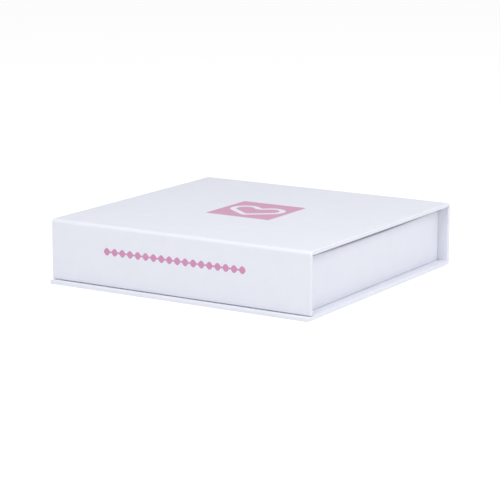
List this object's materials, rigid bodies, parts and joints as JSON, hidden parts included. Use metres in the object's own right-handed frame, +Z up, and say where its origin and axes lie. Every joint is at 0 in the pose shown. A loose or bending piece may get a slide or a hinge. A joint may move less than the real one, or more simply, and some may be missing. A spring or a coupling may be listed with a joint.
{
  "type": "boxed gua sha scraper",
  "caption": "White book-style rigid box with a hinged lid and a magnetic front flap, holding a heart-shaped rose quartz gua sha scraper in a foam insert.",
  "frame": {"origin": "bottom centre of the closed case's bounding box, on the table", "axes": "+X along the flap, to the right as seen from the flap; +Y from the flap to the spine; +Z up"},
  "size_m": [0.13, 0.1276, 0.0286],
  "materials": {
    "white_paper": "matte",
    "white_lining": "matte",
    "greyboard": "matte",
    "kraft_stay": "matte",
    "glue": "satin",
    "magnet_nickel": "satin",
    "keeper_steel": "satin",
    "foam": "matte",
    "rose_quartz": "polished"
  },
  "bodies": {
    "root": {"base_board": "greyboard", "base_wrap": "white_paper", "base_crease": "white_paper", "base_adhesive": "glue", "spine_board": "greyboard", "spine_wrap": "white_paper", "spine_liner": "white_lining", "spine_adhesive": "glue", "lid_crease": "white_paper", "tray_floor": "greyboard", "tray_front_wall": "greyboard", "tray_back_wall": "greyboard", "tray_left_wall": "greyboard", "tray_right_wall": "greyboard", "tray_corner_stays": "kraft_stay", "tray_wrap": "white_paper", "tray_liner": "white_lining", "tray_keepers": "keeper_steel", "foam_pad": "foam", "foam_frame": "foam"},
    "lid": {"lid_board": "greyboard", "lid_wrap": "white_paper", "lid_liner": "white_lining", "flap_crease": "white_paper"},
    "flap": {"flap_board": "greyboard", "flap_wrap": "white_paper", "flap_liner": "white_lining", "flap_magnets": "magnet_nickel"},
    "stone": {"gua_sha_stone": "rose_quartz"}
  },
  "joints": [
    {"name": "lid_hinge", "type": "hinge", "parent": "root", "child": "lid", "pos_m": [0, 0.06333, 0.02813], "axis": [-1, 0, 0], "range_deg": [0, 180], "deforming": ["lid_crease"]},
    {"name": "flap_hinge", "type": "hinge", "parent": "lid", "child": "flap", "pos_m": [0, -0.06143, 0.02813], "axis": [-1, 0, 0], "range_deg": [0, 180], "deforming": ["flap_crease"]},
    {"name": "stone_lift", "type": "slide", "parent": "root", "child": "stone", "axis": [0, 0, 1], "range_m": [0, 0.04]}
  ],
  "couplings": [
    {"joint": "stone_lift", "follows": "lid_hinge", "m_per_rad": 0.0127}
  ]
}
